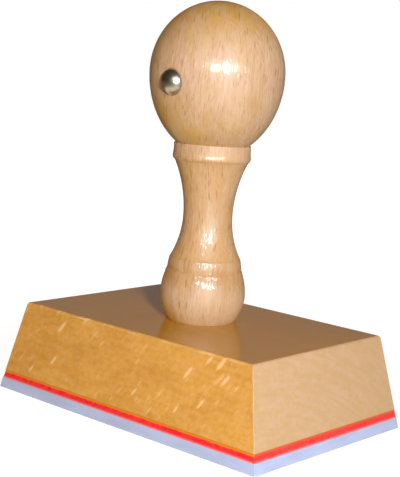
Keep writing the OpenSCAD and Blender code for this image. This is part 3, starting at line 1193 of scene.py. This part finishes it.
@dataclass
class FrontMarker:
    """Domed cap of the nail that marks the front. Sizes in millimetres."""

    handle: TurnedHandle
    cap_h: float = 2.1
    wall: float = 0.4
    rim_gap: float = 0.03
    step_deg: float = 6.0
    sides: int = 64
    nail: PlatedSteel = PlatedSteel("nail_steel", (0.5, 0.49, 0.47), 0.35)

    @property
    def cap_r(self) -> float:
        """Radius of the rim."""
        return self.handle.marker_r

    def outline(self) -> Outline:
        """Section of the pressed shell above its rim.

        Returns:
            The points, from the middle of the hollow round the rim to the top.
        """
        dome_r = (self.cap_r**2 + self.cap_h**2) / (2 * self.cap_h)
        middle = self.cap_h - dome_r
        inside = self.arc(dome_r - self.wall, middle)
        return [*inside, *reversed(self.arc(dome_r, middle))]

    def arc(self, r: float, middle: float) -> Outline:
        """Points of a ball from its top down to the rim.

        Args:
            r: Radius of the ball.
            middle: Height of its middle above the rim.

        Returns:
            The points.
        """
        reach = math.acos(-middle / r)
        steps = math.ceil(math.degrees(reach) / self.step_deg)
        angles = [reach * i / steps for i in range(steps + 1)]
        return [(r * math.sin(a), middle + r * math.cos(a)) for a in angles]

    def build(self) -> None:
        """Presses the cap, lets it stand for its solid, and dresses it and the nail."""
        ball_r, ball_h = self.handle.ball_r, self.handle.ball_low_h
        fall = (self.cap_r - self.wall) ** 2 * ball_r / (2 * ball_h**2)
        mesh = turned_mesh("marker_dome", rounded_off(self.outline()), self.sides)
        sunk = Matrix.Translation((0.0, 0.0, self.rim_gap - fall))
        mesh.transform(Matrix.Scale(MM, 4) @ self.handle.marker_seat() @ sunk)
        dress(stand_in(mesh, "marker_cap"), PolishedNickel().make())
        dress(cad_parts["marker_nail"], self.nail.make())


@dataclass
class HandleScrew:
    """Countersunk screw inside the block and the handle."""

    zinc: PlatedSteel = PlatedSteel("zinc_steel", (0.62, 0.6, 0.52), 0.3)

    def build(self) -> None:
        """Keeps the screw and dresses it."""
        dress(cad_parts["handle_screw"], self.zinc.make())


@dataclass
class TaperedBlock:
    """Wooden block between the handle and the foam. Sizes in millimetres, angles in degrees."""

    end_draft: float = 13.2
    side_draft: float = 8.8
    edge_r: float = 0.8
    corner_r: float = 0.12
    edge_wander: float = 0.12
    waves_per_mm: float = 0.35
    hem: float = 0.15
    rim_share: float = 0.02
    steps: int = 6
    socket_r: float = 4.6
    socket_depth: float = 10.5
    shank_r: float = 1.6
    head_r: float = 4.1
    head_sink: float = 0.3
    cone_h: float = 2.5
    cuts: tuple[int, int] = (56, 38)

    def half(self, base: float, draft: float, h: float, z: float) -> float:
        """Half size of the block at a height.

        Args:
            base: Half size at the underside.
            draft: Lean of the side in degrees.
            h: Height of the block.
            z: Height above the underside.

        Returns:
            The half size, drawn in where the top edge is rounded.
        """
        lean = math.radians(draft)
        rise = (z - h + self.edge_r) / self.edge_r
        if rise <= math.sin(lean):
            return base - z * math.tan(lean)
        corner = math.tan(lean) - 1 / math.cos(lean) + math.sqrt(max(0.0, 1 - rise * rise))
        return base - h * math.tan(lean) + self.edge_r * corner

    def outer_rings(self, low: Vector, high: Vector) -> list[Ring]:
        """Rings of the outside.

        Args:
            low: Lowest corner of the block.
            high: Highest corner of the block.

        Returns:
            The rings, from the underside to the top.
        """
        h = high.z - low.z
        shares = [i / self.steps for i in range(1, self.steps + 1)]
        straight = [0.0, self.hem, *(h * share for share in shares[:-1]), h - 1.5 * self.edge_r]
        rounded = [h - self.edge_r * (1 - math.sin(math.pi / 2 * share)) for share in shares]
        rings = []
        for z in [*straight, *rounded]:
            half = (self.half(high.x, self.end_draft, h, z), self.half(high.y, self.side_draft, h, z))
            ring = rounded_ring(half, self.corner_r, low.z + z, self.cuts)
            rings.append([self.rubbed(point, z - h + self.edge_r) for point in ring])
        return rings

    def rubbed(self, point: Vector, over: float) -> Vector:
        """Draws a point of the rounded edge in a little, unevenly along the edge.

        Args:
            point: Point of the outside.
            over: Height of the point above the start of the rounded edge.

        Returns:
            The point, moved down where it lies on the edge.
        """
        if over <= 0:
            return point
        worn = max(0.0, noise.noise(point * self.waves_per_mm)) * self.edge_wander
        share = math.sin(math.pi * min(1.0, over / self.edge_r))
        return point - Vector((math.copysign(worn, point.x), math.copysign(worn, point.y), worn)) * share

    def inner_rings(self, low: Vector, high: Vector, angles: Sequence[float]) -> list[Ring]:
        """Rings of the tenon's socket and the screw's hole.

        Args:
            low: Lowest corner of the block.
            high: Highest corner of the block.
            angles: Angles of the points of a ring.

        Returns:
            The rings, from the top to the underside.
        """
        head = low.z + self.head_sink
        outline = [
            (self.socket_r, high.z),
            (self.socket_r, high.z - self.socket_depth),
            (self.shank_r, high.z - self.socket_depth),
            (self.shank_r, head + self.cone_h),
            (self.head_r, head),
            (self.head_r, low.z),
        ]
        return [circle(r, z, angles) for r, z in outline]

    def build(self) -> bpy.types.Object:
        """Makes the block with its holes and lets it stand for its solid.

        Returns:
            The block.
        """
        low, high = (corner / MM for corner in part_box("mount_block"))
        outer = self.outer_rings(low, high)
        angles = [math.atan2(point.y, point.x) for point in outer[-1]]
        inset = [point.lerp(Vector((0.0, 0.0, high.z)), self.rim_share) for point in outer[-1]]
        mesh = lofted_mesh("block_body", [*outer, inset, *self.inner_rings(low, high, angles)], None)
        mesh.transform(Matrix.Scale(MM, 4))
        block = stand_in(mesh, "mount_block")
        lean = math.tan(math.radians(self.end_draft))
        finish = BlockBeech(end_mm=high.x + lean * low.z, end_lean=lean)
        dress(block, finish.make())
        return block


@dataclass
class PrintingPad:
    """Foam layer, its two films and the engraved die. Sizes in millimetres."""

    give: float = 0.6
    corner_r: float = 0.3
    cell_mm: float = 0.55
    cell_depth: float = 0.16
    layers: int = 8
    cuts: tuple[int, int] = (200, 132)
    die_edge: float = 0.06
    upper: AdhesiveFilm = AdhesiveFilm(
        "upper_film", film=(0.50, 0.19, 0.005), aged=(0.40, 0.14, 0.005), end=(0.45, 0.16, 0.04),
    )
    lower: AdhesiveFilm = AdhesiveFilm(
        "lower_film", film=(0.70, 0.30, 0.33), aged=(0.60, 0.27, 0.32), end=(0.66, 0.29, 0.32),
    )

    def build(self) -> list[bpy.types.Object]:
        """Makes the foam, keeps the films and the die, and dresses them.

        Returns:
            The films, the die and the foam.
        """
        films = [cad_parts[film.name] for film in (self.upper, self.lower)]
        for piece, film in zip(films, (self.upper, self.lower)):
            dress(piece, film.make())
        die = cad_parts["die_plate"]
        dress(die, DieRubber().make())
        bevel = die.modifiers.new("soft_edges", "BEVEL")
        bevel.width = self.die_edge * MM
        bevel.segments = 2
        return [*films, die, self.build_foam()]

    def build_foam(self) -> bpy.types.Object:
        """Makes the foam with open cells at its cut edges, and gives it a mesh of its own.

        Returns:
            The foam.
        """
        low, high = (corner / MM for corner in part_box("foam_layer"))
        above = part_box("upper_film")[1] / MM
        thickness = high.z - low.z
        rings = []
        for i in range(self.layers + 1):
            share = i / self.layers
            half = (high.x + (above.x - high.x) * share, high.y + (above.y - high.y) * share)
            ring = rounded_ring(half, self.corner_r, low.z + thickness * share, self.cuts)
            inner = 4 * share * (1 - share)
            rings.append([self.opened(point, inner) for point in ring])
        tips = (Vector((0.0, 0.0, low.z)), Vector((0.0, 0.0, high.z)))
        mesh = lofted_mesh("foam_sponge", rings, tips)
        mesh.transform(Matrix.Scale(MM, 4))
        foam = stand_in(mesh, "foam_layer")
        dress(foam, SpongeFoam(span_mm=(low.z, high.z)).make())
        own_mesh(foam)
        return foam

    def opened(self, point: Vector, inner: float) -> Vector:
        """Sinks a point of the cut edge where a cell is open.

        Args:
            point: Point of the edge.
            inner: 1 at half height, 0 at the faces.

        Returns:
            The point, moved towards the middle of the foam.
        """
        depth = max(0.0, noise.noise(point / self.cell_mm)) * self.cell_depth * min(1.0, 2 * inner)
        return point - Vector((math.copysign(depth, point.x), math.copysign(depth, point.y), 0.0))


@dataclass(frozen=True)
class Viewpoint:
    """Camera of the photograph: it looks down a little on the front right corner, slightly askew."""

    place_mm: Triple = (202.7, -234.73, 92.13)
    turn_deg: float = 41.113
    tilt_deg: float = 8.546
    roll_deg: float = 3.839
    focal_px: float = 1194.1
    image_px: tuple[int, int] = (400, 477)
    sensor_mm: float = 36.0
    nearest: float = 0.01

    def axes(self) -> tuple[Vector, Vector, Vector]:
        """Directions of the camera.

        Returns:
            Right, up and back.
        """
        roll = math.radians(self.roll_deg)
        back = heading(self.turn_deg, self.tilt_deg)
        level = heading(self.turn_deg + 90.0)
        right = math.cos(roll) * level + math.sin(roll) * back.cross(level)
        return right, back.cross(right), back

    def build(self) -> None:
        """Makes the scene's camera."""
        lens = bpy.data.cameras.new("camera")
        lens.sensor_width = self.sensor_mm
        lens.lens = self.focal_px / max(self.image_px) * self.sensor_mm
        lens.clip_start = self.nearest
        camera = put_in_scene("camera", lens)
        turned = Matrix(self.axes()).transposed().to_4x4()
        camera.matrix_world = Matrix.Translation(Vector(self.place_mm) * MM) @ turned
        bpy.context.scene.camera = camera


@dataclass(frozen=True)
class Lamp:
    """Soft light that stands round the object and faces it. Width and height in metres."""

    name: str
    azimuth_deg: float
    elevation_deg: float
    distance: float
    size: tuple[float, float]
    watts: float
    colour: Colour = (1.0, 1.0, 1.0)
    reach: Reach = Reach.MATT

    def build(self, aim: Vector) -> bpy.types.Object:
        """Makes the light.

        Args:
            aim: Point that it faces.

        Returns:
            The light.
        """
        light = bpy.data.lights.new(self.name, "AREA")
        light.shape = "ELLIPSE" if self.reach is Reach.MATT else "RECTANGLE"
        light.size, light.size_y = self.size
        light.energy = self.watts
        light.color = self.colour
        lamp = put_in_scene(self.name, light)
        back = heading(self.azimuth_deg, self.elevation_deg)
        lamp.location = aim + back * self.distance
        lamp.rotation_mode = "QUATERNION"
        lamp.rotation_quaternion = (-back).to_track_quat("-Z", "Y")
        lamp.visible_glossy = self.reach is Reach.GLOSS
        lamp.visible_diffuse = self.reach is Reach.MATT
        return lamp


@dataclass(frozen=True)
class Studio:
    """Pale floor, soft lights and a dim room with a pale wall behind the stamp."""

    floor_size: float = 6.0
    floor_tone: Colour = (0.12, 0.12, 0.12)
    floor_near: Colour = (0.95, 0.95, 0.95)
    sheet: Colour = (0.42, 0.365, 0.23)
    sheet_mirrored: Colour = (0.68, 0.64, 0.54)
    table: Colour = (0.04, 0.03, 0.02)
    sheet_mm: tuple[float, float] = (150.0, 95.0)
    fade_mm: tuple[float, float] = (90.0, 260.0)
    room: Colour = (0.035, 0.024, 0.013)
    band: Colour = (0.25, 0.17, 0.08)
    wall: Colour = (0.19, 0.195, 0.212)
    wall_turn_deg: float = 221.0
    white: Colour = (1.0, 1.0, 1.0)
    aim: Triple = (0.0, 0.0, 0.045)

    def lamps(self) -> list[Lamp]:
        """Lights of the studio.

        Returns:
            The key beside the lens, for matt and for glossy surfaces, then the left side and the back.
        """
        return [
            Lamp("key", 51.0, 15.5, 0.36, (0.045, 0.045), 1.8),
            Lamp("key_mirrored", 51.0, 15.5, 0.36, (0.13, 0.06), 2.7, (0.78, 0.91, 1.0), Reach.GLOSS),
            Lamp("fill_left", -50.0, 10.0, 0.9, (0.6, 0.6), 2.1, (1.0, 0.68, 0.2)),
            Lamp("back_right", 165.0, 3.0, 1.0, (0.5, 0.5), 4.6, (1.0, 0.97, 0.93)),
            Lamp("back_left", 245.0, 3.0, 1.0, (0.5, 0.5), 4.0, (1.0, 0.95, 0.88)),
            Lamp("back", 221.0, 2.0, 1.0, (0.5, 0.5), 5.0),
        ]

    def build(self, dull: Sequence[bpy.types.Object]) -> None:
        """Makes the floor, the lights and the room.

        Args:
            dull: Pieces that don't mirror the key light.
        """
        self.make_floor()
        screened = bpy.data.collections.new("screened")
        for piece in dull:
            screened.objects.link(piece)
        for entry in screened.collection_objects:
            entry.light_linking.link_state = "EXCLUDE"
        for lamp in self.lamps():
            light = lamp.build(Vector(self.aim))
            if lamp.reach is Reach.GLOSS:
                light.light_linking.receiver_collection = screened
        self.make_room()
        bpy.context.scene.view_settings.view_transform = "Standard"

    def make_floor(self) -> None:
        """Lays a floor that the camera sees as white, with a sheet round the stamp that lights it."""
        half = self.floor_size / 2
        mesh = bpy.data.meshes.new("floor")
        corners = [(-half, -half, 0.0), (half, -half, 0.0), (half, half, 0.0), (-half, half, 0.0)]
        mesh.from_pydata(corners, [], [(0, 1, 2, 3)])
        floor = put_in_scene("floor", mesh)
        graph = paint("floor_paper")
        reach = graph.measure("LENGTH", graph.place_mm())
        plain = graph.mix(reach.step(*self.fade_mm), self.floor_near, self.white)
        sheet = graph.mix(graph.is_ray("Glossy"), self.sheet, self.sheet_mirrored)
        sheet = graph.mix(reach.step(*self.sheet_mm), self.table, sheet)
        floor.data.materials.append(graph.surface({
            "Base Color": self.floor_tone,
            "Roughness": 0.9,
            "Specular IOR Level": 0.0,
            "Emission Color": graph.mix(graph.is_ray("Camera"), sheet, plain),
            "Emission Strength": 1.0,
        }))

    def make_room(self) -> None:
        """Sets a dim room that the camera sees as plain white."""
        bpy.context.scene.world = bpy.data.worlds.new("room")
        graph = Graph(bpy.context.scene.world)
        way = graph.node("ShaderNodeTexCoord", None, None, "Generated")
        up_way = graph.parts(way)[2]
        behind = graph.measure("DOT_PRODUCT", way, heading(self.wall_turn_deg))
        beside = graph.measure("DOT_PRODUCT", way, heading(self.wall_turn_deg + 90.0))
        lit = up_way.step(0.04, 0.2) * up_way.step(0.75, 0.4) * beside.step(0.7, 0.1)
        tone = graph.mix(behind.step(0.88, 0.97), graph.mix(lit, self.room, self.band), self.wall)
        dim = graph.node("ShaderNodeBackground", None, {"Color": tone})
        plain = graph.node("ShaderNodeBackground", None, {"Color": self.white})
        inputs = {0: graph.is_ray("Camera"), 1: dim, 2: plain}
        either = graph.node("ShaderNodeMixShader", None, inputs)
        graph.add("ShaderNodeOutputWorld", None, {"Surface": either})


def main() -> None:
    """Builds the camera, the stamp from its handle down, and the studio."""
    logging.basicConfig(level=logging.INFO, format="%(message)s")
    Viewpoint().build()
    handle = TurnedHandle()
    handle.build()
    FrontMarker(handle).build()
    HandleScrew().build()
    block = TaperedBlock().build()
    layers = PrintingPad().build()
    Studio().build([block, *layers])


if __name__ == "__main__":
    main()
